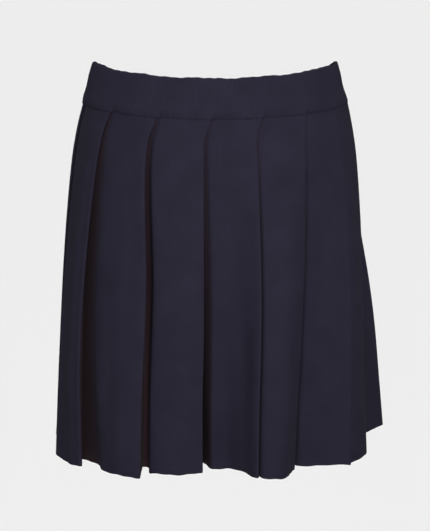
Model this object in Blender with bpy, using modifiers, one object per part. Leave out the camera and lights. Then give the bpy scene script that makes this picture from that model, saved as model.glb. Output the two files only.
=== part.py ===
"""A pleated knit skirt in its worn, hollow form: two pleated skirt pieces and two waistband pieces.

The skirt hangs from its waist. The origin is at the middle of the waist, halfway up the waistband
at the sides. +Z is up, the front faces -Y, and a viewer in front has +X on the right.
Each height of the skirt has a smooth ring, and the pleats are laid along that ring.
"""
import math

import bmesh
import bpy
import numpy as np

COLLECTION = "pleated_skirt"
MM = 0.001

# Heights at the side seams, in millimetres
BAND_TOP = 21.5
SEAM = -21.5
HEM = -398.0
SHOULDER_DROP = 28.0
MIDDLE_DROP = 190.0

# How much lower each edge lies at the centre front and the centre back than at the sides
# BACK_EASE is how softly the back edges leave their height at the sides
FRONT_DIP = {"top": 8.0, "seam": 6.5, "hem": 0.0}
BACK_DIP = {"top": 28.0, "seam": 26.0, "hem": -2.0}
BACK_EASE = 0.2

# Cloth, seams and folds
# WAIST_GAP is the gap between skirt and waistband, measured straight up
CLOTH = 1.2
BAND_THICKNESS = 2.8
BAND_PROUD = -0.2
SEAM_GAP = 0.3
WAIST_GAP = 0.4
ROLL_AT_SEAM = 2.4
ROLL_AT_HEM = 3.4
BROW = 3.2
LEDGE_AT_SEAM = 3.0
TUCK_AT_SEAM = 24.0
FLARE_POWER = 1.1
FLOOR_POWER = 0.5
SWING_POWER = 3.0
MOUTH_AT_MIDDLE = 0.65

# How finely the solids are made
RING_POINTS = 1440
SKIRT_DROPS = (0.0, 7.0, 17.0, 28.0, 46.0, 76.0, 116.0, 165.0, 220.0, 275.0, 325.0, SEAM - HEM)
BAND_COLUMNS = 60
BAND_CORNERS = 3

# The smooth ring at each height: half width, depth to the front and to the back, how square
# the front and back corners are (2 is an ellipse), and the middle's place along X
RING_COLUMNS = ("height", "half_width", "front", "back", "front_square", "back_square", "middle")
RINGS = (
    (21.5, 128.0, 92.0, 92.0, 2.05, 2.05, 0.0),
    (8.0, 131.5, 96.0, 96.0, 2.05, 2.05, 0.0),
    (-4.0, 134.0, 98.5, 98.5, 2.05, 2.05, 0.0),
    (-21.5, 140.0, 103.0, 103.0, 2.10, 2.10, 0.0),
    (-83.0, 151.0, 110.0, 114.0, 2.15, 2.25, 0.0),
    (-197.0, 159.5, 112.0, 122.0, 2.30, 2.50, 0.0),
    (-300.0, 163.5, 112.0, 127.0, 2.40, 2.70, 0.0),
    (-398.0, 167.0, 112.0, 129.0, 2.40, 2.80, 2.0),
)

# One row for each pleat, seen from outside: its panel and the folded edge at the panel's right.
# seam, shoulder, middle, hem: where the edge is along the seam's girth from the centre front
# near, far, out: how far the panel and its edge stand out from the ring at the hem
# crack, mouth: how wide the fold opens at the shoulder and at the hem
# ledge: how far beyond the open fold the next panel starts at the hem
# floor, start: how deep the cloth lies where the fold ends, and where the next panel starts
# tuck, swing: how deep the fold is at the hem, and how far it has turned inwards there
PLEAT_COLUMNS = ("seam", "shoulder", "middle", "hem", "near", "far", "out",
                 "crack", "mouth", "ledge", "floor", "start", "tuck", "swing")
PLEATS = (
    (-177.0, -181.0, -185.0, -187.0, 0.0, 2.0, 5.0, 0.5, 2.0, 3.0, 5.0, 1.0, 34.0, 55.0),
    (-115.0, -122.0, -125.0, -118.5, 1.0, 7.0, 12.0, 5.0, 9.0, 14.0, 18.0, 3.0, 38.0, 42.0),
    (-60.0, -68.0, -62.0, -63.0, 15.0, 25.0, 28.0, 6.0, 5.0, 4.0, 20.0, -6.0, 46.0, 78.0),
    (-4.0, -11.5, -11.5, -14.5, 9.0, 7.0, 1.0, 3.0, 9.0, 4.0, 42.0, 32.0, 50.0, 86.0),
    (49.0, 41.5, 40.5, 31.5, -33.0, -8.0, 21.0, 4.0, 5.5, 3.0, 4.0, -26.0, 42.0, 70.0),
    (98.0, 93.0, 82.0, 66.0, 31.0, 26.0, -3.0, 4.0, 10.0, 3.0, 26.0, 20.0, 34.0, 75.0),
    (143.0, 140.0, 133.0, 120.0, -19.0, -10.0, 3.0, 3.0, 6.0, 3.0, 18.0, 5.0, 30.0, 60.0),
    (193.0, 190.0, 187.0, 182.0, -4.0, -4.0, -6.0, 1.0, 5.0, 3.0, 20.0, 12.0, 32.0, 60.0),
    (252.0, 246.0, 243.0, 255.0, -16.0, -12.0, 45.0, 3.0, 7.0, 3.0, 22.0, 6.0, 36.0, 88.0),
    (311.0, 303.0, 305.0, 306.0, 6.0, 12.0, 16.0, 5.0, 9.0, 3.0, 24.0, 8.0, 40.0, 75.0),
    (370.0, 362.0, 360.0, 362.0, 0.0, 8.0, 14.0, 3.0, 5.0, 3.0, 22.0, 4.0, 38.0, 80.0),
    (430.0, 422.0, 421.0, 423.0, 4.0, 12.0, 18.0, 5.0, 12.0, 3.0, 30.0, 20.0, 44.0, 82.0),
    (490.0, 482.0, 484.0, 482.0, -14.0, -2.0, 12.0, 3.0, 5.0, 3.0, 20.0, 2.0, 40.0, 80.0),
    (551.0, 543.0, 541.0, 540.0, 6.0, 14.0, 18.0, 4.0, 8.0, 3.0, 22.0, 6.0, 38.0, 70.0),
)
SIDE_PLEATS = (0, 7)

# The points of a pleat's section, in order along the cloth
SECTION = ("near", "far", "brow_out", "edge_out", "edge_in", "brow_in",
           "deep_in", "tip_in", "tip_out", "deep_out", "floor", "start")
# Where the solid samples each stretch between those points
SAMPLES = {"near": (0.0, 0.5), "far": (0.0, 0.5), "edge_out": (0.0, 0.5), "start": (0.0, 0.5)}
ONE_SAMPLE = (0.0,)

KNIT_COLOUR = (0.022, 0.020, 0.036, 1.0)
KNIT_ROUGHNESS = 0.9


def smooth(places, values, at):
    """Read a table at a place between its rows, on a curve that never overshoots them."""
    step = np.diff(places)
    slope = np.diff(values) / step
    lean = np.zeros(len(values))
    lean[0] = slope[0]
    lean[-1] = slope[-1]
    for i in range(1, len(values) - 1):
        if slope[i - 1] * slope[i] > 0:
            lean[i] = 2 * slope[i - 1] * slope[i] / (slope[i - 1] + slope[i])
    i = int(np.clip(np.searchsorted(places, at) - 1, 0, len(step) - 1))
    u = (at - places[i]) / step[i]
    start = values[i] * (1 + 2 * u) * (1 - u) ** 2 + step[i] * lean[i] * u * (1 - u) ** 2
    end = values[i + 1] * u * u * (3 - 2 * u) + step[i] * lean[i + 1] * u * u * (u - 1)
    return start + end


class Ring:
    """The smooth closed line of the form at one height, read by the share of its girth."""

    def __init__(self, height):
        rows = np.array(RINGS)[::-1]
        self.size = {name: smooth(rows[:, 0], rows[:, i], height) for i, name in enumerate(RING_COLUMNS)}
        turn = np.linspace(0.0, 2 * math.pi, RING_POINTS + 1)
        ahead, sideways = self.reach(np.cos(turn), np.sin(turn))
        self.points = np.stack([self.size["middle"] + sideways, -ahead], axis=1)
        steps = np.hypot(*np.diff(self.points, axis=0).T)
        self.along = np.concatenate([[0.0], np.cumsum(steps)])
        self.girth = self.along[-1]

    def reach(self, ahead, sideways):
        """Where the ring is in a direction, given by its parts to the front and to the side."""
        size = self.size
        depth = np.where(ahead > 0, size["front"], size["back"])
        square = np.where(ahead > 0, size["front_square"], size["back_square"])
        power = np.abs(ahead / depth) ** square + np.abs(sideways / size["half_width"]) ** square
        reach = power ** (-1 / square)
        return reach * ahead, reach * sideways

    def point(self, share):
        """The plan point at a share of the girth, from the centre front towards +X."""
        place = (share % 1.0) * self.girth
        return np.array([np.interp(place, self.along, self.points[:, i]) for i in (0, 1)])

    def frame(self, share):
        """The plan point there, with the directions along the ring and outwards."""
        reach = 2.0 / self.girth
        along = self.point(share + reach) - self.point(share - reach)
        along /= np.hypot(*along)
        return self.point(share), along, np.array([along[1], -along[0]])

    def centre_share(self, plan):
        """How near a direction is to the centre front or back: 0 at the sides, 1 at the centre."""
        ahead, _ = self.reach(-plan[1], plan[0] - self.size["middle"])
        return (ahead / self.size["front" if ahead > 0 else "back"]) ** 2


SEAM_GIRTH = Ring(SEAM).girth


def dip(edge, ring, plan):
    """How far an edge of the garment hangs below its height at the sides."""
    share = ring.centre_share(plan)
    if plan[1] < 0:
        return FRONT_DIP[edge] * share
    eased = math.hypot(math.sqrt(share), BACK_EASE) - BACK_EASE
    return BACK_DIP[edge] * eased / (math.hypot(1.0, BACK_EASE) - BACK_EASE)


def lift(plan, ring, drop_share):
    """The height of a point of the skirt, from its share of the way from seam to hem."""
    top = SEAM - WAIST_GAP / 2 - dip("seam", ring, plan)
    bottom = HEM - dip("hem", ring, plan)
    return top + (bottom - top) * drop_share


def pleat_rows():
    """The pleat table as dictionaries."""
    return [dict(zip(PLEAT_COLUMNS, row)) for row in PLEATS]


def edge_place(pleat, drop):
    """Where a pleat's folded edge is along the seam's girth, at a drop below the seam."""
    drops = np.array([0.0, SHOULDER_DROP, MIDDLE_DROP, SEAM - HEM])
    return smooth(drops, np.array([pleat[name] for name in ("seam", "shoulder", "middle", "hem")]), drop)


def mouth_width(pleat, drop):
    """How wide a pleat's fold is open at a drop below the seam."""
    drops = np.array([0.0, SHOULDER_DROP, MIDDLE_DROP, SEAM - HEM])
    half_way = pleat["crack"] + MOUTH_AT_MIDDLE * (pleat["mouth"] - pleat["crack"])
    return smooth(drops, np.array([0.0, pleat["crack"], half_way, pleat["mouth"]]), drop)


def unit(vector):
    """A direction of length one."""
    return vector / np.hypot(*vector)


def section_points(ring, drop):
    """The guide points of the closed section at a drop below the seam, pleat by pleat, in plan."""
    share = drop / (SEAM - HEM)
    stretch = ring.girth / SEAM_GIRTH
    flare = share ** FLARE_POWER
    roll = ROLL_AT_SEAM + (ROLL_AT_HEM - ROLL_AT_SEAM) * share
    under = 2 * roll
    rows = pleat_rows()
    edges = [edge_place(pleat, drop) for pleat in rows]
    mouths = [mouth_width(pleat, drop) for pleat in rows]
    sunk = share ** FLOOR_POWER
    ledges = [LEDGE_AT_SEAM + (pleat["ledge"] - LEDGE_AT_SEAM) * sunk for pleat in rows]
    starts = [edge + (mouth + ledge) / stretch for edge, mouth, ledge in zip(edges, mouths, ledges)]

    def on_ring(place, out):
        spot, _, outward = ring.frame(place / SEAM_GIRTH)
        return spot + outward * out

    plan = []
    for i, pleat in enumerate(rows):
        first = starts[i - 1] if i else starts[-1] - SEAM_GIRTH
        near = on_ring(first + (edges[i] - first) / 3, flare * pleat["near"] - (1 - flare) * under * 2 / 3)
        far = on_ring(first + (edges[i] - first) * 2 / 3, flare * pleat["far"] - (1 - flare) * under / 3)
        spot, along, outward = ring.frame(edges[i] / SEAM_GIRTH)
        edge_out = spot + outward * flare * pleat["out"]
        back_along = unit(far - edge_out)
        lean = math.atan2(-back_along @ outward, -back_along @ along)
        swing = lean + (math.radians(pleat["swing"]) - lean) * (1 - (1 - share) ** SWING_POWER)
        inwards = -math.cos(swing) * along - math.sin(swing) * outward
        across = math.sin(swing) * along - math.cos(swing) * outward
        tuck = TUCK_AT_SEAM + (pleat["tuck"] - TUCK_AT_SEAM) * share
        edge_in = edge_out + across * roll
        tip_in = edge_in + inwards * tuck
        tip_out = tip_in + across * roll
        depth = sunk * pleat["floor"] + (1 - sunk) * under
        floor = spot + along * mouths[i] - outward * depth
        start_depth = flare * pleat["start"] + (1 - flare) * under
        points = {
            "near": near,
            "far": far,
            "brow_out": edge_out + BROW * back_along,
            "edge_out": edge_out,
            "edge_in": edge_in,
            "brow_in": edge_in + BROW * inwards,
            "deep_in": tip_in - BROW * inwards,
            "tip_in": tip_in,
            "tip_out": tip_out,
            "deep_out": tip_out + BROW * unit(floor - tip_out),
            "floor": floor,
            "start": on_ring(starts[i], -start_depth),
        }
        plan.extend(points[name] for name in SECTION)
    return np.array(plan)


def along_spline(points, places):
    """Points of the closed uniform cubic B-spline that the guide points steer."""
    count = len(points)
    found = []
    for place in places:
        i = int(math.floor(place))
        u = place - i
        weights = ((1 - u) ** 3 / 6, (3 * u ** 3 - 6 * u ** 2 + 4) / 6,
                   (-3 * u ** 3 + 3 * u ** 2 + 3 * u + 1) / 6, u ** 3 / 6)
        found.append(sum(w * points[(i + j - 1) % count] for j, w in enumerate(weights)))
    return np.array(found)


def cloth_places(first_pleat, last_pleat):
    """Spline places from inside one side pleat's fold, round to inside the next one's."""
    size = len(SECTION)
    seam = SECTION.index("deep_out")
    places = []
    for step in range(first_pleat * size + seam, last_pleat * size + seam):
        name = SECTION[step % size]
        places.extend(step + u for u in SAMPLES.get(name, ONE_SAMPLE))
    places.append(last_pleat * size + seam)
    return places


def cloth_row(drop, places):
    """The cloth's points along the section at a drop below the seam."""
    ring = Ring(SEAM - drop)
    plan = along_spline(section_points(ring, drop), places)
    return np.array([[*spot, lift(spot, ring, drop / (SEAM - HEM))] for spot in plan])


def open_the_seam(row):
    """Draw the two ends of a row of cloth back by half of the seam gap."""
    for end, inner in ((0, 1), (-1, -2)):
        way = row[inner] - row[end]
        row[end] = row[end] + way * (SEAM_GAP / 2) / np.linalg.norm(way)
    return row


def grid_mesh(name, rows, closed_across=False):
    """A mesh from rows of points; each row closes on itself where closed_across is set."""
    mesh = bpy.data.meshes.new(name)
    bm = bmesh.new()
    verts = [[bm.verts.new(point * MM) for point in row] for row in rows]
    width = len(rows[0])
    for upper, lower in zip(verts[:-1], verts[1:]):
        for i in range(width if closed_across else width - 1):
            j = (i + 1) % width
            bm.faces.new((upper[i], lower[i], lower[j], upper[j]))
    if closed_across:
        bm.faces.new(verts[0])
        bm.faces.new(verts[-1][::-1])
    bm.to_mesh(mesh)
    bm.free()
    return mesh


def knit_material(name):
    """Dark navy knit cloth, nearly matt."""
    material = bpy.data.materials.new(name)
    material.use_nodes = True
    shader = material.node_tree.nodes["Principled BSDF"]
    shader.inputs["Base Color"].default_value = KNIT_COLOUR
    shader.inputs["Roughness"].default_value = KNIT_ROUGHNESS
    shader.inputs["Metallic"].default_value = 0.0
    return material


def place_object(name, mesh, collection):
    """Put a mesh in the scene under a sub-part's name, with its own material."""
    piece = bpy.data.objects.new(name, mesh)
    mesh.materials.append(knit_material(name + "_knit"))
    mesh.shade_smooth()
    collection.objects.link(piece)
    return piece


def make_skirt_piece(name, first_pleat, last_pleat, collection):
    """One pleated piece: the open middle surface of the cloth, thickened by Solidify."""
    places = cloth_places(first_pleat, last_pleat)
    rows = [open_the_seam(cloth_row(drop, places)) for drop in SKIRT_DROPS]
    piece = place_object(name, grid_mesh(name, rows), collection)
    wall = piece.modifiers.new("cloth", "SOLIDIFY")
    wall.thickness = CLOTH * MM
    wall.offset = 0.0
    return piece


def band_profile():
    """The rounded section of the waistband: out from its middle surface, and share of its height."""
    radius = BAND_THICKNESS / 2
    height = BAND_TOP - SEAM - WAIST_GAP / 2
    end = radius / height
    profile = []
    for i in range(BAND_CORNERS + 1):
        turn = math.pi * i / BAND_CORNERS
        profile.append((radius * math.cos(turn), 1 - end + end * math.sin(turn)))
    profile.append((-radius, 0.5))
    profile.append((-radius, 0.0))
    profile.append((radius, 0.0))
    profile.append((radius, 0.5))
    return profile


def make_band_piece(name, first_share, last_share, collection):
    """Half of the waistband, swept round the waist between the side seams."""
    trim = SEAM_GAP / 2 / SEAM_GIRTH
    shares = np.linspace(first_share + trim, last_share - trim, BAND_COLUMNS)
    profile = band_profile()
    rings = [Ring(SEAM + (BAND_TOP - SEAM) * up) for _, up in profile]
    rows = []
    for share in shares:
        row = []
        for (out, up), ring in zip(profile, rings):
            spot, _, outward = ring.frame(share)
            plan = spot + outward * (out + BAND_PROUD)
            top = BAND_TOP - dip("top", ring, plan)
            bottom = SEAM + WAIST_GAP / 2 - dip("seam", ring, plan)
            row.append(np.array([plan[0], plan[1], bottom + (top - bottom) * up]))
        rows.append(row)
    return place_object(name, grid_mesh(name, rows, closed_across=True), collection)


def side_share(pleat):
    """The share of the girth where a side seam meets the waistband."""
    row = pleat_rows()[pleat]
    return (row["seam"] - TUCK_AT_SEAM + BROW) / SEAM_GIRTH


def main():
    for item in list(bpy.data.objects):
        bpy.data.objects.remove(item)
    collection = bpy.data.collections.new(COLLECTION)
    bpy.context.scene.collection.children.link(collection)
    first, last = SIDE_PLEATS
    make_skirt_piece("front_skirt", first, last, collection)
    make_skirt_piece("back_skirt", last, first + len(PLEATS), collection)
    make_band_piece("front_waistband", side_share(first), side_share(last), collection)
    make_band_piece("back_waistband", side_share(last), side_share(first) + 1.0, collection)


main()
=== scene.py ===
"""Looks of a pleated knit skirt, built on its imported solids.

Each cloth piece is a thin closed shell on the form of its solid. The skirt hangs from its waist:
the origin is at the middle of the waist, +Z is up, the front faces -Y, and a viewer in front has
+X on the right. The cloth's sizes are in millimetres up to the point where a mesh is made, and the
studio's are in metres.
"""

import math

import bpy
import numpy as np
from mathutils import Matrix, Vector


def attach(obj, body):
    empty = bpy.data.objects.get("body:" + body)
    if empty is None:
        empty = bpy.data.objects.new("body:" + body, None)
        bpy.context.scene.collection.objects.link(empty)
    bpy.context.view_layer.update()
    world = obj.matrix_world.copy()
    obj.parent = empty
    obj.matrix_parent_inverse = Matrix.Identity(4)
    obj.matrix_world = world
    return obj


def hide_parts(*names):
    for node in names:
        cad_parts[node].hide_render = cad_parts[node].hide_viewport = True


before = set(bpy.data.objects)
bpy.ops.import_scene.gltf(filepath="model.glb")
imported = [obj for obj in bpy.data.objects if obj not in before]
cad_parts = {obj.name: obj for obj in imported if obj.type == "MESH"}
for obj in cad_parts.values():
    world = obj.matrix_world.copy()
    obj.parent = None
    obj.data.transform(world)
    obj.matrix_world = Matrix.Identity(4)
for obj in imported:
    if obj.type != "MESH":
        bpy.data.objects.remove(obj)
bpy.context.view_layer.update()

MM = 0.001

# Heights at the side seams
BAND_TOP = 21.5
SEAM = -21.5
HEM = -398.0
SHOULDER_DROP = 28.0
MIDDLE_DROP = 190.0
SKIRT_LENGTH = SEAM - HEM

# How much lower each edge lies at the centre front and the centre back than at the sides
# BACK_EASE is how softly the back edges leave their height at the sides
FRONT_DIP = {"top": 8.0, "seam": 6.5, "hem": 0.0}
BACK_DIP = {"top": 28.0, "seam": 26.0, "hem": -2.0}
BACK_EASE = 0.2

# Cloth, seams and folds
CLOTH = 1.2
BAND_THICKNESS = 2.8
BAND_PROUD = -0.2
ROLL_AT_SEAM = 1.4
ROLL_AT_HEM = 2.8
BROW = 2.6
LAP = 3.5
LEDGE_AT_SEAM = 3.0
TUCK_AT_SEAM = 24.0
FLARE_POWER = 1.1
FLOOR_POWER = 0.5
SWING_POWER = 3.0
MOUTH_AT_MIDDLE = 0.65
RING_POINTS = 1440

# The smooth ring at each height: half width, depth to the front and to the back, how square
# the front and back corners are (2 is an ellipse), and the middle's place along X
RING_COLUMNS = ("height", "half_width", "front", "back", "front_square", "back_square", "middle")
RINGS = (
    (21.5, 128.0, 92.0, 92.0, 2.05, 2.05, 0.0),
    (8.0, 131.5, 96.0, 96.0, 2.05, 2.05, 0.0),
    (-4.0, 134.0, 98.5, 98.5, 2.05, 2.05, 0.0),
    (-21.5, 140.0, 103.0, 103.0, 2.10, 2.10, 0.0),
    (-83.0, 151.0, 110.0, 114.0, 2.15, 2.25, 0.0),
    (-197.0, 159.5, 112.0, 122.0, 2.30, 2.50, 0.0),
    (-300.0, 163.5, 112.0, 127.0, 2.40, 2.70, 0.0),
    (-398.0, 167.0, 112.0, 129.0, 2.40, 2.80, 2.0),
)

# One row for each pleat, seen from outside: its panel and the folded edge at the panel's right.
# seam, shoulder, middle, hem: where the edge is along the seam's girth from the centre front
# near, far, out: how far the panel and its edge stand out from the ring at the hem
# crack, mouth: how wide the fold opens at the shoulder and at the hem
# ledge: how far beyond the open fold the next panel starts at the hem
# floor, start: how deep the cloth lies where the fold ends, and where the next panel starts
# tuck, swing: how deep the fold is at the hem, and how far it has turned inwards there
# rise: how much of the way out to the next panel's level the cloth has come just past its start
PLEAT_COLUMNS = ("seam", "shoulder", "middle", "hem", "near", "far", "out",
                 "crack", "mouth", "ledge", "floor", "start", "tuck", "swing", "rise")
PLEATS = (
    (-177.0, -185.0, -191.0, -188.5, 0.0, 3.5, 6.0, 0.0, 1.0, 4.0, 5.0, 1.0, 34.0, 55.0, 0.3),
    (-118.0, -123.0, -125.0, -118.0, 11.0, 7.0, 12.0, 2.0, 4.5, 12.0, 10.0, 3.0, 38.0, 42.0, 0.35),
    (-61.0, -68.0, -60.5, -62.5, 15.0, 25.0, 28.0, 3.0, 3.5, 2.5, 20.0, -6.0, 46.0, 78.0, 0.2),
    (-4.0, -11.5, -11.5, -14.5, 9.0, 7.0, 1.0, 1.2, 10.0, 4.0, 20.0, 18.0, 50.0, 86.0, 0.2),
    (49.0, 40.5, 38.5, 32.0, -25.0, -10.0, 21.0, 1.5, 2.0, 2.0, 4.0, -26.0, 42.0, 70.0, 0.2),
    (98.0, 92.0, 79.0, 65.5, 31.0, 26.0, -3.0, 2.5, 9.0, 3.0, 26.0, 20.0, 34.0, 75.0, 0.2),
    (143.0, 140.0, 133.0, 120.0, -19.0, -10.0, 3.0, 3.0, 6.0, 3.0, 18.0, 5.0, 30.0, 60.0, 0.2),
    (193.0, 190.0, 187.0, 182.0, -4.0, -4.0, -6.0, 1.0, 5.0, 3.0, 20.0, 12.0, 32.0, 60.0, 0.2),
    (252.0, 246.0, 243.0, 255.0, -16.0, -12.0, 45.0, 3.0, 7.0, 3.0, 22.0, 6.0, 36.0, 88.0, 0.2),
    (311.0, 303.0, 305.0, 306.0, 6.0, 12.0, 16.0, 5.0, 9.0, 3.0, 24.0, 8.0, 40.0, 75.0, 0.2),
    (370.0, 362.0, 360.0, 362.0, 0.0, 8.0, 14.0, 3.0, 5.0, 3.0, 22.0, 4.0, 38.0, 80.0, 0.2),
    (430.0, 422.0, 421.0, 423.0, 4.0, 12.0, 18.0, 5.0, 12.0, 3.0, 30.0, 20.0, 44.0, 82.0, 0.2),
    (490.0, 482.0, 484.0, 482.0, -14.0, -2.0, 12.0, 3.0, 5.0, 3.0, 20.0, 2.0, 40.0, 80.0, 0.2),
    (551.0, 543.0, 541.0, 540.0, 6.0, 14.0, 18.0, 4.0, 8.0, 3.0, 22.0, 6.0, 38.0, 70.0, 0.2),
)
PLEAT = dict(zip(PLEAT_COLUMNS, np.array(PLEATS).T))
LEFT_PLEAT = 0
RIGHT_PLEAT = 7
ALL_ROUND = len(PLEATS)

# The points of a pleat's section, in order along the cloth, and how many columns of the mesh lie
# before the next one
SECTION = (
    ("near", 6),
    ("far", 6),
    ("brow_out", 3),
    ("edge_out", 4),
    ("edge_in", 3),
    ("brow_in", 4),
    ("deep_in", 2),
    ("tip_in", 3),
    ("tip_out", 3),
    ("deep_out", 4),
    ("floor", 5),
    ("start", 3),
    ("lap", 6),
)
POINTS = [row[0] for row in SECTION]
SEAM_POINT = POINTS.index("deep_out")
# How much painted shade the cloth's colour takes along those points, from 0 where the cloth is on
# show to 1 where it lies hidden inside the fold, and how much of that the wearer's side of the cloth
# takes
PAINTED_FOLD_SHADE = ((0.0, 0.0), (3.5, 0.0), (4.0, 0.15), (5.0, 1.0), (9.4, 1.0), (10.2, 0.6), (10.8, 0.2),
              (11.1, 0.0), (13.0, 0.0))
INNER_PAINTED_SHADE = 0.35

# Rows of the skirt's mesh, closer together at the seam and at the turned-up hem. The two rows just
# above the hem have their own places, and LAST_ROW_ROOM is kept free over them.
SKIRT_ROWS = 96
ROW_POWER = 1.35
HEM_TURN = 22.0
HEM_STEP = 1.6
HEM_EXTRA = 0.45
LAST_ROWS_ABOVE_HEM = (2.6, 1.4)
LAST_ROW_ROOM = 1.0
RIM_POINTS = 3
RIM_ROUNDNESS = {"top": 0.3, "hem": 1.0}

# Soft troughs (below 0) and ridges (above 0) that the cloth has taken between the folds
# pleat: whose panel; across: from 0 at the panel's start to 1 at its folded edge
# top, bottom: the drops below the seam between which it fades in and out
# width, depth: how broad and how deep it is; drift: how far across it moves on the way down
CREASE_COLUMNS = ("pleat", "across", "top", "bottom", "width", "depth", "drift")
CREASES = (
    (0, 0.45, 20.0, 330.0, 7.0, -1.1, 0.10),
    (0, 0.80, 150.0, 400.0, 5.0, 0.8, -0.05),
    (1, 0.48, 30.0, 440.0, 8.0, -3.0, 0.04),
    (1, 0.80, 20.0, 450.0, 6.0, 2.8, 0.02),
    (2, 0.22, 60.0, 420.0, 6.0, 0.8, 0.02),
    (2, 0.42, 170.0, 430.0, 5.0, -0.9, 0.06),
    (2, 0.78, 20.0, 300.0, 7.0, -0.8, -0.06),
    (3, 0.30, 30.0, 210.0, 8.0, -0.6, 0.05),
    (3, 0.64, 200.0, 430.0, 8.0, 0.7, -0.08),
    (4, 0.28, 60.0, 300.0, 6.0, 0.6, 0.04),
    (4, 0.60, 150.0, 440.0, 8.0, -1.6, 0.05),
    (4, 0.90, 190.0, 440.0, 4.0, 0.9, -0.02),
    (5, 0.25, 20.0, 240.0, 7.0, -0.6, 0.04),
    (5, 0.76, 210.0, 440.0, 5.0, -0.9, 0.03),
    (6, 0.40, 40.0, 260.0, 8.0, -0.7, -0.05),
    (6, 0.70, 190.0, 430.0, 6.0, 0.8, 0.05),
    (7, 0.12, 60.0, 420.0, 8.0, 0.7, 0.05),
    (7, 0.45, 120.0, 400.0, 9.0, -0.4, -0.04),
    (8, 0.30, 60.0, 320.0, 7.0, -1.1, 0.06),
    (8, 0.62, 200.0, 440.0, 8.0, 1.2, 0.05),
    (9, 0.40, 30.0, 250.0, 6.0, -0.8, -0.05),
    (9, 0.72, 180.0, 430.0, 6.0, -1.0, 0.04),
    (10, 0.28, 90.0, 420.0, 7.0, 0.9, 0.05),
    (10, 0.66, 20.0, 280.0, 6.0, -0.7, 0.03),
    (11, 0.36, 150.0, 440.0, 7.0, -1.3, -0.04),
    (11, 0.75, 40.0, 330.0, 5.0, 0.7, 0.05),
    (12, 0.30, 20.0, 260.0, 7.0, -0.7, 0.05),
    (12, 0.58, 170.0, 440.0, 8.0, 1.1, -0.05),
    (13, 0.42, 60.0, 380.0, 6.0, -1.0, 0.05),
    (13, 0.78, 200.0, 440.0, 5.0, 0.8, 0.02),
)
# How far from a panel's start and from its folded edge a crease fades, and the power that its half
# wave of depth is raised to on the way down
CREASE_ENDS = (6.0, 5.0)
CREASE_TAPER = 0.8

# Waves that run all round, each with its number per round, its height and where it starts
SEAM_PUCKERS = ((93, 0.16, 0.1), (131, 0.13, 0.4), (57, 0.12, 0.7))
BAND_WAVES = ((7, 0.50, 0.2), (17, 0.28, 0.6), (43, 0.14, 0.3))
TOP_WAVES = ((11, 0.45, 0.5), (26, 0.30, 0.1), (61, 0.18, 0.8))
HEM_WAVES = ((19, 0.50, 0.3), (47, 0.30, 0.7))
# How far from the seam the puckers fade, and how much of the way down the hem's waves start
PUCKER_REACH = 9.0
HEM_WAVES_START = 0.8

# Waistband
BAND_OUTER_ROWS = 22
BAND_INNER_ROWS = 8
BAND_FOLD_ROWS = 6
BAND_BULGE = 0.3
BULGE_POWER = 0.7
BAND_WAVE_POWER = 0.5
BAND_LIP = 0.4
BAND_SINK = 0.3
# How high the band's outer face still follows the steps of the pleats that it is sewn to, how far
# its foot reaches inwards over their folded layers, and how far the seam draws it onto them
STEP_REACH = 9.0
FOOT_REACH = 5.0
FOOT_DEPTH = 4.6
SEAM_BITE = 0.35
BITE_REACH = 2.0
# How high the outer face is sunk by BAND_SINK
SINK_REACH = 4.0
# The band's lower edge is rounded: how far round its points are, and how much it narrows there
LIP_TURNS = (0.5, 0.8, 1.0)
LIP_TAPER = 0.35
# How much each face is drawn in at the side seams, and how far along the waist that fades
SIDE_DRAW = 0.6
SIDE_DRAW_REACH = 0.8
# The ribs grow to their full height within RIBS_START, a share of the band's height. Further in than
# WEARER_SIDE, on the wearer's side, they have only WEARER_RIBS of it.
RIBS_ROUND = 276
COLUMNS_PER_RIB = 6
RIB_HEIGHT = 0.24
RIBS_START = 0.06
WEARER_SIDE = -0.5
WEARER_RIBS = 0.5

# The studio's own light: how high a direction points, from 0 level to 1 upright, and how bright
# it is there
AIR = ((0.02, 0.36), (0.15, 0.06), (0.7, 0.06), (0.93, 1.0))
AIR_STRENGTH = 2.4
# Soft lamps: where each stands, its size, its power and its colour; they all aim at LAMP_AIM
LAMPS = {
    "key_lamp": ((0.25, -1.8, 0.75), 0.8, 2.5, "f2f4ff"),
    "fill_lamp": ((0.05, -2.8, 0.3), 1.0, 1.7, "ffffff"),
    "back_lamp": ((-0.3, 2.6, 1.1), 1.0, 4.6, "ffffff"),
}
LAMP_AIM = (0.0, 0.0, -0.15)
LAMP_SPREAD = 40.0
FLOOR_HEIGHT = -2.2
FLOOR_REACH = 90.0
# The camera stands three metres in front and 0.3 m above the waist
CAMERA_SPOT = (0.0, -3.0, 0.3155)
CAMERA_AIM = (0.0, 0.0, -0.197)
CAMERA_LENS = 192.9
CAMERA_SIGHT = 200.0

# Sewing thread
STITCH_LENGTH = 2.6
STITCH_SPACING = 3.6
THREAD = 0.45


def smooth(places, values, at):
    """Read rows of values at a place between them, on curves that never overshoot the rows."""
    places = np.asarray(places, float)
    values = np.asarray(values, float)
    step = np.diff(places)
    slope = np.diff(values, axis=0) / step.reshape(-1, *[1] * (values.ndim - 1))
    before, after = slope[:-1], slope[1:]
    level = before * after <= 0
    total = np.where(level, 1.0, before + after)
    lean = np.concatenate([slope[:1], np.where(level, 0.0, 2 * before * after / total), slope[-1:]])
    i = int(np.clip(np.searchsorted(places, at) - 1, 0, len(step) - 1))
    u = (at - places[i]) / step[i]
    start = values[i] * (1 + 2 * u) * (1 - u) ** 2 + step[i] * lean[i] * u * (1 - u) ** 2
    end = values[i + 1] * u * u * (3 - 2 * u) + step[i] * lean[i + 1] * u * u * (u - 1)
    return start + end


def unit(vectors):
    """Directions of length one."""
    return vectors / np.linalg.norm(vectors, axis=-1, keepdims=True)


def ripple(shares, waves):
    """The sum of the waves at shares of the way round."""
    return sum(height * np.sin(2 * math.pi * (count * shares + start)) for count, height, start in waves)


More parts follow.
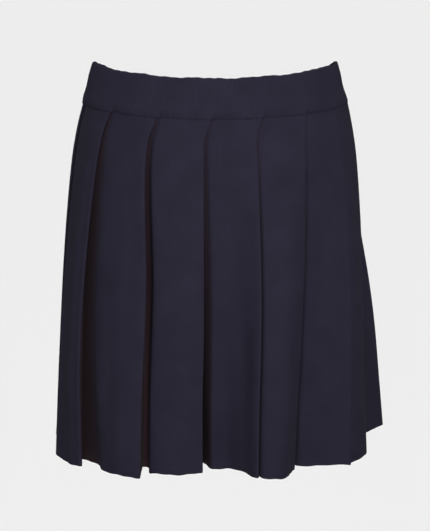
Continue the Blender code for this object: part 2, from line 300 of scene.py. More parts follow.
def soft_step(low, high, at):
    """0 up to low and 1 from high, with a soft change between them."""
    u = np.clip((at - low) / (high - low), 0.0, 1.0)
    return u * u * (3 - 2 * u)


class Ring:
    """The smooth closed line of the form at one height, read by the share of its girth."""

    def __init__(self, height):
        rows = np.array(RINGS)[::-1]
        self.size = dict(zip(RING_COLUMNS, smooth(rows[:, 0], rows, height)))
        turn = np.linspace(0.0, 2 * math.pi, RING_POINTS + 1)
        ahead, sideways = self.reach(np.cos(turn), np.sin(turn))
        self.points = np.stack([self.size["middle"] + sideways, -ahead], axis=1)
        steps = np.hypot(*np.diff(self.points, axis=0).T)
        self.along = np.concatenate([[0.0], np.cumsum(steps)])
        self.girth = self.along[-1]

    def reach(self, ahead, sideways):
        """Where the ring is in a direction, given by its parts to the front and to the side."""
        size = self.size
        depth = np.where(ahead > 0, size["front"], size["back"])
        square = np.where(ahead > 0, size["front_square"], size["back_square"])
        power = np.abs(ahead / depth) ** square + np.abs(sideways / size["half_width"]) ** square
        reach = power ** (-1 / square)
        return reach * ahead, reach * sideways

    def spots(self, shares):
        """The plan points at shares of the girth, from the centre front towards +X."""
        places = (shares % 1.0) * self.girth
        return np.stack([np.interp(places, self.along, self.points[:, i]) for i in (0, 1)], axis=-1)

    def frames(self, shares):
        """The plan points there, with the directions along the ring and outwards."""
        reach = 2.0 / self.girth
        along = unit(self.spots(shares + reach) - self.spots(shares - reach))
        return self.spots(shares), along, np.stack([along[..., 1], -along[..., 0]], axis=-1)

    def centre_share(self, plan):
        """How near a direction is to the centre front or back: 0 at the sides, 1 at the centre."""
        ahead, _ = self.reach(-plan[..., 1], plan[..., 0] - self.size["middle"])
        return (ahead / np.where(ahead > 0, self.size["front"], self.size["back"])) ** 2


SEAM_GIRTH = Ring(SEAM).girth


def dips(edge, ring, plan):
    """How far an edge of the garment hangs below its height at the sides."""
    share = ring.centre_share(plan)
    eased = (np.sqrt(share + BACK_EASE ** 2) - BACK_EASE) / (math.hypot(1.0, BACK_EASE) - BACK_EASE)
    return np.where(plan[..., 1] < 0, FRONT_DIP[edge] * share, BACK_DIP[edge] * eased)


def section_points(ring, drop):
    """The guide points of the closed section at a drop below the seam, pleat by pleat, in plan."""
    share = drop / SKIRT_LENGTH
    stretch = ring.girth / SEAM_GIRTH
    flare = share ** FLARE_POWER
    roll = ROLL_AT_SEAM + (ROLL_AT_HEM - ROLL_AT_SEAM) * share
    under = 2 * roll
    drops = (0.0, SHOULDER_DROP, MIDDLE_DROP, SKIRT_LENGTH)
    edges = smooth(drops, [PLEAT[name] for name in ("seam", "shoulder", "middle", "hem")], drop)
    crack, mouth = PLEAT["crack"], PLEAT["mouth"]
    half_way = crack + MOUTH_AT_MIDDLE * (mouth - crack)
    mouths = smooth(drops, [0.0 * crack, crack, half_way, mouth], drop)
    sunk = share ** FLOOR_POWER
    ledges = LEDGE_AT_SEAM + (PLEAT["ledge"] - LEDGE_AT_SEAM) * sunk
    starts = edges + (mouths + ledges) / stretch
    firsts = np.roll(starts, 1)
    firsts[0] -= SEAM_GIRTH

    def on_ring(places, out):
        spots, _, outward = ring.frames(places / SEAM_GIRTH)
        return spots + outward * out[:, None]

    near_out = flare * PLEAT["near"] - (1 - flare) * under * 2 / 3
    near = on_ring(firsts + (edges - firsts) / 3, near_out)
    far = on_ring(firsts + (edges - firsts) * 2 / 3, flare * PLEAT["far"] - (1 - flare) * under / 3)
    spots, along, outward = ring.frames(edges / SEAM_GIRTH)
    edge_out = spots + outward * flare * PLEAT["out"][:, None]
    back_along = unit(far - edge_out)
    lean = np.arctan2(-(back_along * outward).sum(1), -(back_along * along).sum(1))
    swing = lean + (np.radians(PLEAT["swing"]) - lean) * (1 - (1 - share) ** SWING_POWER)
    turn_in, turn_along = np.sin(swing)[:, None], np.cos(swing)[:, None]
    inwards = -turn_along * along - turn_in * outward
    across = turn_in * along - turn_along * outward
    tuck = TUCK_AT_SEAM + (PLEAT["tuck"][:, None] - TUCK_AT_SEAM) * share
    edge_in = edge_out + across * roll
    tip_in = edge_in + inwards * tuck
    tip_out = tip_in + across * roll
    depth = sunk * PLEAT["floor"] + (1 - sunk) * under
    floor = spots + along * mouths[:, None] - outward * depth[:, None]
    start_out = -(flare * PLEAT["start"] + (1 - flare) * under)
    lap_out = start_out + PLEAT["rise"] * (np.roll(near_out, -1) - start_out)
    points = {
        "near": near,
        "far": far,
        "brow_out": edge_out + BROW * back_along,
        "edge_out": edge_out,
        "edge_in": edge_in,
        "brow_in": edge_in + BROW * inwards,
        "deep_in": tip_in - BROW * inwards,
        "tip_in": tip_in,
        "tip_out": tip_out,
        "deep_out": tip_out + BROW * unit(floor - tip_out),
        "floor": floor,
        "start": on_ring(starts, start_out),
        "lap": on_ring(starts + LAP / stretch, lap_out),
    }
    return np.stack([points[name] for name in POINTS], axis=1).reshape(-1, 2)


def along_spline(points, places):
    """Points of the closed uniform cubic B-spline that the guide points steer."""
    i = np.floor(places).astype(int)
    u = (places - i)[:, None]
    weights = ((1 - u) ** 3 / 6, (3 * u ** 3 - 6 * u ** 2 + 4) / 6,
               (-3 * u ** 3 + 3 * u ** 2 + 3 * u + 1) / 6, u ** 3 / 6)
    return sum(w * points[(i + j - 1) % len(points)] for j, w in enumerate(weights))


def cloth_places(first_pleat, last_pleat):
    """Spline places from inside one side pleat's fold, round to inside the next one's."""
    size = len(SECTION)
    places = []
    for step in range(first_pleat * size + SEAM_POINT, last_pleat * size + SEAM_POINT):
        columns = SECTION[step % size][1]
        places.extend(step + np.arange(columns) / columns)
    places.append(last_pleat * size + SEAM_POINT)
    return np.array(places)


def cloth_row(drop, places):
    """The cloth's points along the section at a drop below the seam."""
    ring = Ring(SEAM - drop)
    plan = along_spline(section_points(ring, drop), places)
    top = SEAM - dips("seam", ring, plan)
    bottom = HEM - dips("hem", ring, plan)
    return np.column_stack([plan, top + (bottom - top) * drop / SKIRT_LENGTH])


def skirt_drops():
    """The drops below the seam at which the skirt's mesh has its rows."""
    steady = SKIRT_LENGTH * np.linspace(0.0, 1.0, SKIRT_ROWS) ** ROW_POWER
    turn = SKIRT_LENGTH - HEM_TURN + HEM_STEP * np.array([-0.5, 0.0, 0.5])
    last = SKIRT_LENGTH - np.array(LAST_ROWS_ABOVE_HEM)
    kept = steady[:-1][np.abs(steady[:-1] - turn[1]) > HEM_STEP]
    return np.sort(np.concatenate([kept[kept < last[0] - LAST_ROW_ROOM], turn, last, [SKIRT_LENGTH]]))


def outward_normals(surface):
    """The outward directions of a surface whose rows run down and whose columns run along."""
    down = np.gradient(surface, axis=0)
    along = np.gradient(surface, axis=1)
    return unit(np.cross(down, along))


def crease_depths(places, surface, drops):
    """How far the creases and the seam's puckers move each point of the skirt's surface."""
    size = len(SECTION)
    moved = np.zeros(surface.shape[:2])
    lengths = np.linalg.norm(np.diff(surface, axis=1), axis=2)
    run = np.concatenate([np.zeros((len(surface), 1)), np.cumsum(lengths, axis=1)], axis=1)
    for row in CREASES:
        crease = dict(zip(CREASE_COLUMNS, row))
        edge = crease["pleat"] * size + POINTS.index("edge_out")
        start = (crease["pleat"] - 1) * size + POINTS.index("start")
        for turn in (0, ALL_ROUND * size):
            ends = np.searchsorted(places, [start + turn, edge + turn])
            if ends[0] == ends[1] or start + turn < places[0] - size or ends[1] >= len(places):
                continue
            from_start = run - run[:, ends[0]:ends[0] + 1]
            width = run[:, ends[1]:ends[1] + 1] - run[:, ends[0]:ends[0] + 1]
            fall = np.clip((drops - crease["top"]) / (crease["bottom"] - crease["top"]), 0.0, 1.0)
            centre = (crease["across"] + crease["drift"] * fall[:, None]) * width
            bell = np.exp(-((from_start - centre) / crease["width"]) ** 2)
            on_panel = (soft_step(0.0, CREASE_ENDS[0], from_start)
                        * soft_step(0.0, CREASE_ENDS[1], width - from_start))
            fading = np.sin(math.pi * fall) ** CREASE_TAPER
            moved += crease["depth"] * bell * on_panel * fading[:, None]
    return moved


def shell(surface, normals, outside, inside):
    """A closed loop of rows round a surface: down its outer face, round the hem and up inside."""
    rows = surface.copy()
    thickness = outside + inside
    centre = surface + normals * ((outside - inside) / 2)[:, None, None]
    ends = []
    for end, inner, name in ((0, 1, "top"), (-1, -2, "hem")):
        way = unit(surface[end] - surface[inner]) * RIM_ROUNDNESS[name]
        radius = thickness[end] / 2
        rim = []
        for k in range(1, RIM_POINTS + 1):
            turn = math.pi * k / (RIM_POINTS + 1)
            rim.append(centre[end] + way * radius * (math.sin(turn) - 1)
                       + normals[end] * radius * math.cos(turn))
        rows[end] = surface[end] - way * radius
        ends.append(rim)
    outer = rows + normals * outside[:, None, None]
    inner = rows - normals * inside[:, None, None]
    loop = [*outer, *ends[1], *inner[::-1], *ends[0][::-1]]
    return np.array(loop)


def ladder(loop):
    """Quads that close a thin loop of points, from one side of it to the other."""
    last = len(loop) - 1
    half = len(loop) // 2
    return [(loop[i], loop[i + 1], loop[last - i - 1], loop[last - i]) for i in range(half - 1)]


def loop_mesh(name, loop, across, down, painted_shade):
    """A closed mesh from rows that run round a thin loop, with its cloth map and its painted shade."""
    rows, columns = loop.shape[:2]
    index = np.arange(rows * columns).reshape(rows, columns)
    below = np.roll(index, -1, axis=0)
    faces = np.stack([index[:, :-1], below[:, :-1], below[:, 1:], index[:, 1:]], axis=-1).reshape(-1, 4)
    caps = [quad[::-1] for quad in ladder(index[:, 0].tolist())] + ladder(index[:, -1].tolist())
    mesh = bpy.data.meshes.new(name)
    mesh.from_pydata((loop.reshape(-1, 3) * MM).tolist(), [], faces.tolist() + caps)
    mesh.update()
    corners = np.zeros(len(mesh.loops), int)
    mesh.loops.foreach_get("vertex_index", corners)
    cloth_map = np.stack([across, down], axis=-1) * MM
    mesh.uv_layers.new(name="cloth")
    mesh.uv_layers["cloth"].data.foreach_set("uv", cloth_map.reshape(-1, 2)[corners].ravel())
    painted_shades = mesh.attributes.new("painted_shade", "FLOAT", "POINT")
    painted_shades.data.foreach_set("value", np.ravel(painted_shade))
    mesh.shade_smooth()
    return mesh


def put_in_scene(name, data):
    """An object for a mesh or a curve, at the origin."""
    piece = bpy.data.objects.new(name, data)
    bpy.context.scene.collection.objects.link(piece)
    return piece


def skirt_piece(name, first_pleat, last_pleat):
    """One pleated piece as a closed shell, with the line of its hem stitches."""
    places = cloth_places(first_pleat, last_pleat)
    drops = skirt_drops()
    surface = np.array([cloth_row(drop, places) for drop in drops])
    seam_run = np.concatenate([[0.0], np.cumsum(np.linalg.norm(np.diff(surface[0], axis=0), axis=1))])
    shares = seam_run / SEAM_GIRTH
    moved = crease_depths(places, surface, drops)
    moved += ripple(shares, SEAM_PUCKERS) * np.exp(-drops / PUCKER_REACH)[:, None]
    surface = surface + outward_normals(surface) * moved[..., None]
    near_hem = soft_step(HEM_WAVES_START, 1.0, drops / SKIRT_LENGTH)
    surface[..., 2] += ripple(shares, HEM_WAVES) * near_hem[:, None]
    normals = outward_normals(surface)
    outside = np.full(len(drops), CLOTH / 2)
    turned_up = soft_step(-HEM_STEP / 2, HEM_STEP / 2, drops - (SKIRT_LENGTH - HEM_TURN))
    inside = CLOTH / 2 + HEM_EXTRA * turned_up
    loop = shell(surface, normals, outside, inside)
    middle = np.argmin(np.abs(drops - SKIRT_LENGTH / 2))
    grain = np.concatenate([[0.0], np.cumsum(np.linalg.norm(np.diff(surface[middle], axis=0), axis=1))])
    down = np.concatenate([drops, np.full(RIM_POINTS, drops[-1]), drops[::-1], np.zeros(RIM_POINTS)])
    across = np.broadcast_to(grain, loop.shape[:2])
    # Painted shade: the share of the browner fold colour in the cloth's colour at each column, weaker on
    # the wearer's side
    painted_shade = np.interp(places % len(SECTION), *np.array(PAINTED_FOLD_SHADE).T)
    half = len(drops) + RIM_POINTS
    fades = np.concatenate([np.ones(half), np.full(half, INNER_PAINTED_SHADE)])
    down = np.broadcast_to(down[:, None], loop.shape[:2])
    mesh = loop_mesh(name, loop, across, down, painted_shade * fades[:, None])
    stitched = np.argmin(np.abs(drops - (SKIRT_LENGTH - HEM_TURN + HEM_STEP)))
    line = surface[stitched] - normals[stitched] * (inside[stitched] + THREAD / 4)
    return put_in_scene(name, mesh), line


def band_profile():
    """The waistband's section as a loop, from its top outer edge down, round and up inside.

    Each point has its distance outwards and its share of the band's height.
    """
    height = BAND_TOP - SEAM
    radius = BAND_THICKNESS / 2
    end = radius / height
    ups = np.linspace(1 - end, BAND_LIP / height, BAND_OUTER_ROWS)
    bulge = BAND_BULGE * np.sin(math.pi * ups) ** BULGE_POWER
    sunk = BAND_SINK * (1 - soft_step(0.0, SINK_REACH, ups * height))
    outer = list(zip(radius + bulge - sunk, ups))
    turned = [(1 - LIP_TAPER * u, BAND_LIP / height * (1 - u ** 2)) for u in LIP_TURNS]
    lip = [((radius - BAND_SINK) * taper, up) for taper, up in turned]
    foot = [(-radius * taper, up) for taper, up in turned[::-1]]
    inner = [(-radius, up) for up in np.linspace(BAND_LIP / height, 1 - end, BAND_INNER_ROWS)]
    turns = math.pi * np.arange(1, BAND_FOLD_ROWS + 1) / (BAND_FOLD_ROWS + 1)
    fold = [(-radius * math.cos(turn), 1 - end + end * math.sin(turn)) for turn in turns]
    return np.array(outer + lip + foot + inner + fold)


def side_share(pleat):
    """The share of the girth where a side seam meets the waistband."""
    return (PLEAT["seam"][pleat] - TUCK_AT_SEAM + BROW) / SEAM_GIRTH


def pleat_steps(shares):
    """How far in from the ring the pleats' outer face lies along the waist seam."""
    edges = PLEAT["seam"]
    places = np.concatenate([edges, edges + LEDGE_AT_SEAM])
    depths = np.repeat([0.0, 2 * ROLL_AT_SEAM], len(edges))
    return np.interp(shares * SEAM_GIRTH, places, depths, period=SEAM_GIRTH)


def band_piece(name, first_share, last_share):
    """Half of the waistband as a closed shell, before its ribs."""
    columns = int(round((last_share - first_share) * RIBS_ROUND * COLUMNS_PER_RIB)) + 1
    shares = np.linspace(first_share, last_share, columns)
    ends = np.minimum(shares - first_share, last_share - shares) * SEAM_GIRTH
    drawn_in = SIDE_DRAW * np.exp(-ends / SIDE_DRAW_REACH)
    steps = pleat_steps(shares)
    profile = band_profile()
    loop = []
    for out, up in profile:
        height = up * (BAND_TOP - SEAM)
        ring = Ring(SEAM + (BAND_TOP - SEAM) * up)
        spots, _, outward = ring.frames(shares)
        between = math.sin(math.pi * min(max(up, 0.0), 1.0))
        waves = ripple(shares, BAND_WAVES) * between ** BAND_WAVE_POWER
        puckers = ripple(shares, SEAM_PUCKERS) * math.exp(-up * (BAND_TOP - SEAM) / PUCKER_REACH)
        reach = out + BAND_PROUD + waves + puckers - drawn_in * np.sign(out)
        if out > 0:
            reach -= steps * (1 - soft_step(0.0, STEP_REACH, height))
        else:
            reach -= FOOT_DEPTH * (1 - soft_step(0.0, FOOT_REACH, height))
        plan = spots + outward * reach[:, None]
        top = BAND_TOP - dips("top", ring, plan) + ripple(shares, TOP_WAVES)
        bottom = SEAM - dips("seam", ring, plan)
        bitten = SEAM_BITE * (1 - soft_step(0.0, BITE_REACH, height))
        loop.append(np.column_stack([plan, bottom + (top - bottom) * up - bitten]))
    loop = np.array(loop)
    ups = profile[:, 1]
    across = np.broadcast_to(shares * SEAM_GIRTH, loop.shape[:2])
    down = np.broadcast_to(((1 - ups) * (BAND_TOP - SEAM))[:, None], loop.shape[:2])
    mesh = loop_mesh(name, loop, across, down, np.zeros(loop.shape[:2]))
    ribbed = soft_step(0.0, RIBS_START, ups) * np.where(profile[:, 0] > WEARER_SIDE, 1.0, WEARER_RIBS)
    for label, values in (("across", across * MM), ("ribbed", np.repeat(ribbed, columns))):
        mesh.attributes.new(label, "FLOAT", "POINT").data.foreach_set("value", np.ravel(values))
    return put_in_scene(name, mesh)


def add_node(tree, kind, inputs=(), **settings):
    """Add a node, set its properties, and give its inputs values or other nodes' outputs."""
    node = tree.nodes.new(kind)
    for name, value in settings.items():
        setattr(node, name, value)
    for key, value in dict(inputs).items():
        if isinstance(value, bpy.types.Node):
            value = value.outputs[0]
        if isinstance(value, bpy.types.NodeSocket):
            tree.links.new(value, node.inputs[key])
        else:
            node.inputs[key].default_value = value
    return node


def linear(hex_colour):
    """A colour written as sRGB hex, as the linear values that a shader takes."""
    parts = [int(hex_colour[i:i + 2], 16) / 255 for i in (0, 2, 4)]
    return (*[c / 12.92 if c <= 0.04045 else ((c + 0.055) / 1.055) ** 2.4 for c in parts], 1.0)


def knit_cloth(name, colours, wale, course, relief, groove_shade_depth):
    """A material of knitted stitches that follows the piece's cloth map.

    wale and course are the width and height of one drawn stitch, in millimetres.
    """
    material = bpy.data.materials.new(name)
    material.use_nodes = True
    tree = material.node_tree
    shader = tree.nodes["Principled BSDF"]
    cloth = add_node(tree, "ShaderNodeUVMap", uv_map="cloth")
    place = add_node(tree, "ShaderNodeSeparateXYZ", {"Vector": cloth})
    wales = add_node(tree, "ShaderNodeMath", {0: place.outputs["X"], 1: 2 / (wale * MM)},
                     operation="MULTIPLY")
    courses = add_node(tree, "ShaderNodeMath", {0: place.outputs["Y"], 1: 1 / (course * MM)},
                       operation="MULTIPLY")
    # From the middle of a wale to the groove beside it, 0 to 1
    from_middle = add_node(tree, "ShaderNodeMath", {0: wales, 1: 1.0}, operation="PINGPONG")
    crown = add_node(tree, "ShaderNodeMapRange",
                     {"Value": from_middle, "From Min": 1.0, "From Max": 0.0},
                     interpolation_type="SMOOTHSTEP")
    # Each stitch is a V, so its legs climb from the middle of the wale to the groove
    climb = add_node(tree, "ShaderNodeMath", {0: from_middle, 1: 0.7, 2: courses},
                     operation="MULTIPLY_ADD")
    turn = add_node(tree, "ShaderNodeMath", {0: climb, 1: 2 * math.pi}, operation="MULTIPLY")
    legs = add_node(tree, "ShaderNodeMath", {0: turn}, operation="SINE")
    stitch = add_node(tree, "ShaderNodeMath", {0: legs, 1: 0.22, 2: 0.78}, operation="MULTIPLY_ADD")
    knit = add_node(tree, "ShaderNodeMath", {0: crown, 1: stitch}, operation="MULTIPLY")
    # Loose fibre on the yarn, and the yarn's own unevenness
    spot = add_node(tree, "ShaderNodeTexCoord").outputs["Object"]
    fibre = add_node(tree, "ShaderNodeTexNoise", {"Vector": spot, "Scale": 900.0, "Detail": 3.0})
    uneven = add_node(tree, "ShaderNodeTexNoise", {"Vector": spot, "Scale": 38.0, "Detail": 4.0})
    height = add_node(tree, "ShaderNodeMath", {0: fibre.outputs["Fac"], 1: 0.35, 2: knit},
                      operation="MULTIPLY_ADD")
    bump = add_node(tree, "ShaderNodeBump",
                    {"Height": height, "Strength": relief, "Distance": 0.35 * MM})
    # Painted shade in the grooves: the knit's colour darkens towards the groove colour where its
    # stitches lie low
    painted_groove_shade = add_node(tree, "ShaderNodeMapRange",
                       {"Value": knit, "To Min": groove_shade_depth, "To Max": 0.0})
    # Sockets 6 and 7 of a colour mix are its two colours
    yarn = add_node(tree, "ShaderNodeMix",
                    {"Factor": painted_groove_shade, 6: linear(colours["yarn"]), 7: linear(colours["groove"])},
                    data_type="RGBA")
    fleck = add_node(tree, "ShaderNodeTexNoise", {"Vector": spot, "Scale": 520.0, "Detail": 1.0})
    mixed = add_node(tree, "ShaderNodeMath", {0: fleck.outputs["Fac"], 1: 0.8, 2: uneven.outputs["Fac"]},
                     operation="MULTIPLY_ADD")
    mottle = add_node(tree, "ShaderNodeMapRange", {"Value": mixed, "From Min": 0.6, "From Max": 1.2,
                                                   "To Min": 0.88, "To Max": 1.12})
    worn = add_node(tree, "ShaderNodeVectorMath", {0: yarn.outputs[2], "Scale": mottle},
                    operation="SCALE")
    # Painted shade inside the folds: the attribute mixes the browner fold colour into the yarn's colour
    painted_shade = add_node(tree, "ShaderNodeAttribute", attribute_name="painted_shade")
    with_painted_shade = add_node(tree, "ShaderNodeMix",
                    {"Factor": painted_shade.outputs["Fac"], 6: worn, 7: linear(colours["fold"])},
                    data_type="RGBA")
    rough = add_node(tree, "ShaderNodeMapRange",
                     {"Value": uneven.outputs["Fac"], "To Min": 0.82, "To Max": 0.98})
    tree.links.new(with_painted_shade.outputs[2], shader.inputs["Base Color"])
    tree.links.new(rough.outputs[0], shader.inputs["Roughness"])
    tree.links.new(bump.outputs[0], shader.inputs["Normal"])
    shader.inputs["Specular IOR Level"].default_value = 0.0
    shader.inputs["Sheen Weight"].default_value = 0.008
    shader.inputs["Sheen Roughness"].default_value = 0.5
    return material


def sewing_thread(name, hex_colour):
    """Spun polyester thread, a little smoother than the knit, so that stitches catch some light."""
    material = bpy.data.materials.new(name)
    material.use_nodes = True
    tree = material.node_tree
    shader = tree.nodes["Principled BSDF"]
    spot = add_node(tree, "ShaderNodeTexCoord")
    # The thread's plies, about 0.3 mm apart
    plies = add_node(tree, "ShaderNodeTexNoise",
                     {"Vector": spot.outputs["Object"], "Scale": 3000.0, "Detail": 1.0})
    bump = add_node(tree, "ShaderNodeBump",
                    {"Height": plies.outputs["Fac"], "Strength": 0.4, "Distance": 0.1 * MM})
    tree.links.new(bump.outputs[0], shader.inputs["Normal"])
    shader.inputs["Base Color"].default_value = linear(hex_colour)
    shader.inputs["Roughness"].default_value = 0.6
    return material


def matt_paper(name, hex_colour):
    """Seamless studio paper, pale and even."""
    material = bpy.data.materials.new(name)
    material.use_nodes = True
    tree = material.node_tree
    shader = tree.nodes["Principled BSDF"]
    spot = add_node(tree, "ShaderNodeTexCoord")
    pulp = add_node(tree, "ShaderNodeTexNoise", {"Vector": spot.outputs["Object"], "Scale": 6.0})
    rough = add_node(tree, "ShaderNodeMapRange",
                     {"Value": pulp.outputs["Fac"], "To Min": 0.92, "To Max": 1.0})
    tree.links.new(rough.outputs[0], shader.inputs["Roughness"])
    shader.inputs["Base Color"].default_value = linear(hex_colour)
    shader.inputs["Specular IOR Level"].default_value = 0.0
    return material


def geometry_tree(name, sizes):
    """An empty geometry tree with named inputs for its sizes and its material."""
    tree = bpy.data.node_groups.new(name, "GeometryNodeTree")
    tree.interface.new_socket("Geometry", in_out="INPUT", socket_type="NodeSocketGeometry")
    for label in sizes:
        tree.interface.new_socket(label, in_out="INPUT", socket_type="NodeSocketFloat")
    tree.interface.new_socket("Material", in_out="INPUT", socket_type="NodeSocketMaterial")
    tree.interface.new_socket("Geometry", in_out="OUTPUT", socket_type="NodeSocketGeometry")
    return tree, add_node(tree, "NodeGroupInput").outputs


def end_tree(tree, given, made):
    """Make instances real, give them the material, and end the tree."""
    real = add_node(tree, "GeometryNodeRealizeInstances", {"Geometry": made})
    finished = add_node(tree, "GeometryNodeSetMaterial",
                        {"Geometry": real, "Material": given["Material"]})
    add_node(tree, "NodeGroupOutput", {"Geometry": finished})
    return tree


def upright_ribs():
    """Raise rounded ribs on a band, where its across value runs in metres along the waist."""
    tree, given = geometry_tree("upright_ribs", ("Rib spacing", "Rib height", "Unevenness"))
    across = add_node(tree, "GeometryNodeInputNamedAttribute", {"Name": "across"}, data_type="FLOAT")
    ribbed = add_node(tree, "GeometryNodeInputNamedAttribute", {"Name": "ribbed"}, data_type="FLOAT")
    count = add_node(tree, "ShaderNodeMath", {0: across, 1: given["Rib spacing"]}, operation="DIVIDE")
    turn = add_node(tree, "ShaderNodeMath", {0: count, 1: 2 * math.pi}, operation="MULTIPLY")
    wave = add_node(tree, "ShaderNodeMath", {0: turn}, operation="COSINE")
    rounded = add_node(tree, "ShaderNodeMath", {0: wave, 1: 0.5, 2: 0.5}, operation="MULTIPLY_ADD")
    rib = add_node(tree, "ShaderNodeMath", {0: rounded, 1: 0.6}, operation="POWER")
    place = add_node(tree, "GeometryNodeInputPosition")
    spot = add_node(tree, "ShaderNodeVectorMath", {0: (1.0, 1.0, 0.15), 1: place}, operation="MULTIPLY")
    uneven = add_node(tree, "ShaderNodeTexNoise", {"Vector": spot, "Scale": 160.0, "Detail": 1.0})
    spread = add_node(tree, "ShaderNodeMath", {0: uneven.outputs[0], 1: 0.5}, operation="SUBTRACT")
    share = add_node(tree, "ShaderNodeMath", {0: spread, 1: given["Unevenness"], 2: 1.0},
                     operation="MULTIPLY_ADD")
    height = add_node(tree, "ShaderNodeMath", {0: share, 1: given["Rib height"]}, operation="MULTIPLY")
    raised = add_node(tree, "ShaderNodeMath", {0: rib, 1: height}, operation="MULTIPLY")
    kept = add_node(tree, "ShaderNodeMath", {0: raised, 1: ribbed}, operation="MULTIPLY")
    outwards = add_node(tree, "GeometryNodeInputNormal")
    offset = add_node(tree, "ShaderNodeVectorMath", {0: outwards, "Scale": kept}, operation="SCALE")
    moved = add_node(tree, "GeometryNodeSetPosition", {"Geometry": given["Geometry"], "Offset": offset})
    return end_tree(tree, given, moved)


def row_of_stitches():
    """Lay short thread stitches end to end along a curve."""
    tree, given = geometry_tree("row_of_stitches", ("Stitch length", "Stitch spacing", "Thread"))
    spots = add_node(tree, "GeometryNodeCurveToPoints",
                     {"Curve": given["Geometry"], "Length": given["Stitch spacing"]}, mode="LENGTH")
    bead = add_node(tree, "GeometryNodeMeshUVSphere", {"Segments": 6, "Rings": 4, "Radius": 0.5})
    size = add_node(tree, "ShaderNodeCombineXYZ",
                    {"X": given["Thread"], "Y": given["Thread"], "Z": given["Stitch length"]})
    stitch = add_node(tree, "GeometryNodeInstanceOnPoints",
                      {"Points": spots.outputs["Points"], "Instance": bead,
                       "Rotation": spots.outputs["Rotation"], "Scale": size})
    soft = add_node(tree, "GeometryNodeSetShadeSmooth", {"Geometry": stitch})
    return end_tree(tree, given, soft)


def grow(piece, tree, values):
    """Run a geometry tree on an object and put the plain mesh that it makes in its place."""
    runner = piece.modifiers.new(tree.name, "NODES")
    runner.node_group = tree
    for item in tree.interface.items_tree:
        if item.in_out == "INPUT" and item.name in values:
            runner[item.identifier] = values[item.name]
    name = piece.name
    graph = bpy.context.evaluated_depsgraph_get()
    mesh = bpy.data.meshes.new_from_object(piece.evaluated_get(graph), depsgraph=graph)
    bpy.data.objects.remove(piece)
    mesh.name = name
    return put_in_scene(name, mesh)


def thread_line(name, line):
    """A curve object along a line of points."""
    curve = bpy.data.curves.new(name, "CURVE")
    curve.dimensions = "3D"
    spline = curve.splines.new("POLY")
    spline.points.add(len(line) - 1)
    spline.points.foreach_set("co", np.column_stack([line * MM, np.ones(len(line))]).ravel())
    return put_in_scene(name, curve)


def soft_light(name, spot, aim, size, power, hex_colour):
    """A large soft lamp aimed at a point."""
    lamp = bpy.data.lights.new(name, "AREA")
    lamp.shape = "DISK"
    lamp.size = size
    lamp.spread = math.radians(LAMP_SPREAD)
    lamp.energy = power
    lamp.color = linear(hex_colour)[:3]
    holder = put_in_scene(name, lamp)
    holder.location = spot
    holder.rotation_euler = (Vector(aim) - Vector(spot)).to_track_quat("-Z", "Y").to_euler()


def soft_air(name, strength):
    """A studio's own light: strongest from overhead, weak from halfway up, pale at the horizon."""
    world = bpy.data.worlds.new(name)
    world.use_nodes = True
    tree = world.node_tree
    air = tree.nodes["Background"]
    way = add_node(tree, "ShaderNodeTexCoord")
    parts = add_node(tree, "ShaderNodeSeparateXYZ", {"Vector": way.outputs["Generated"]})
    ramp = add_node(tree, "ShaderNodeValToRGB", {"Fac": parts.outputs["Z"]})
    ramp.color_ramp.interpolation = "EASE"
    stops = ramp.color_ramp.elements
    for height, grey in AIR:
        stops.new(height).color = (grey, grey, grey, 1.0)
    stops.remove(stops[0])
    stops.remove(stops[-1])
    tree.links.new(ramp.outputs["Color"], air.inputs["Color"])
    air.inputs["Strength"].default_value = strength
    return world


def studio(floor_height, reach):
    """A wide pale floor under the skirt."""
    mesh = bpy.data.meshes.new("studio_floor")
    corners = [(-reach, -reach), (reach, -reach), (reach, reach), (-reach, reach)]
    mesh.from_pydata([(x, y, floor_height) for x, y in corners], [], [(0, 1, 2, 3)])
    mesh.materials.append(matt_paper("studio_paper", "f8f8f8"))
    put_in_scene("studio_floor", mesh)


# The cloth pieces
front_skirt, front_hem = skirt_piece("front_skirt_cloth", LEFT_PLEAT, RIGHT_PLEAT)
back_skirt, back_hem = skirt_piece("back_skirt_cloth", RIGHT_PLEAT, LEFT_PLEAT + ALL_ROUND)
left_share, right_share = side_share(LEFT_PLEAT), side_share(RIGHT_PLEAT)
front_band = band_piece("front_waistband_cloth", left_share, right_share)
back_band = band_piece("back_waistband_cloth", right_share, left_share + 1.0)
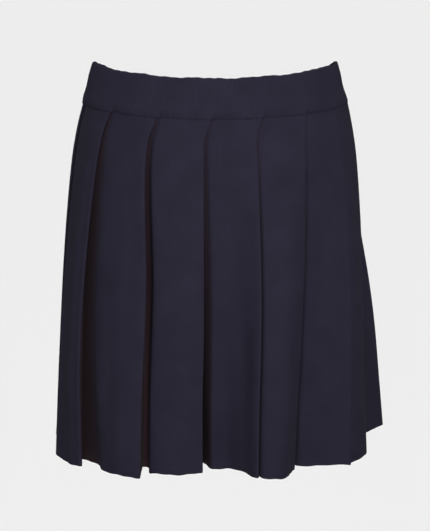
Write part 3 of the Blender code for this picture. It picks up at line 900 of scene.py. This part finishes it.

# Fine-gauge viscose knit, piece-dyed dark navy. Its wales, the upright columns of stitches, show
# as faint lines, with painted shade in the grooves between them, and its fibre keeps it matt. The real
# wales are about 1.4 mm apart, which is too fine to show here, so every second one is drawn. Inside
# the folds the colour is painted shade and light: browner, the tone of the shaded folds seen from the
# front, and a little lighter, to make up for light that does not reach into them.
NAVY = {"yarn": "211f29", "groove": "18171e", "fold": "2a1f22"}
skirt_knit = knit_cloth("fine_viscose_knit", NAVY, 2.8, 2.2, 0.22, 0.16)
# The same yarn knitted as a close rib. Its ribs are raised in the mesh, and a wale is drawn on each.
band_knit = knit_cloth("viscose_rib_knit", NAVY, SEAM_GIRTH / RIBS_ROUND, 2.0, 0.25, 0.2)
thread = sewing_thread("spun_polyester_thread", "2a1e26")

rib_sizes = {"Rib spacing": SEAM_GIRTH / RIBS_ROUND * MM, "Rib height": RIB_HEIGHT * MM,
             "Unevenness": 0.8, "Material": band_knit}
ribs = upright_ribs()
front_band = grow(front_band, ribs, rib_sizes)
back_band = grow(back_band, ribs, rib_sizes)

stitch_sizes = {"Stitch length": STITCH_LENGTH * MM, "Stitch spacing": STITCH_SPACING * MM,
                "Thread": THREAD * MM, "Material": thread}
stitches = row_of_stitches()
front_stitches = grow(thread_line("front_hem_stitches", front_hem), stitches, stitch_sizes)
back_stitches = grow(thread_line("back_hem_stitches", back_hem), stitches, stitch_sizes)

for skirt in (front_skirt, back_skirt):
    skirt.data.materials.append(skirt_knit)

# What each piece stands for, whose solid is hidden, and what it rides on
for piece, node in ((front_skirt, "front_skirt"), (back_skirt, "back_skirt"),
                    (front_band, "front_waistband"), (back_band, "back_waistband")):
    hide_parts(node)
    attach(piece, "root")
for piece in (front_stitches, back_stitches):
    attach(piece, "root")

# Studio
studio(FLOOR_HEIGHT, FLOOR_REACH)
for name, (spot, size, power, colour) in LAMPS.items():
    soft_light(name, spot, LAMP_AIM, size, power, colour)
bpy.context.scene.world = soft_air("studio_air", AIR_STRENGTH)
bpy.context.scene.view_settings.view_transform = "Standard"

camera = bpy.data.cameras.new("front_camera")
camera.lens = CAMERA_LENS
camera.clip_end = CAMERA_SIGHT
holder = put_in_scene("front_camera", camera)
holder.location = CAMERA_SPOT
holder.rotation_euler = (Vector(CAMERA_AIM) - holder.location).to_track_quat("-Z", "Y").to_euler()
bpy.context.scene.camera = holder
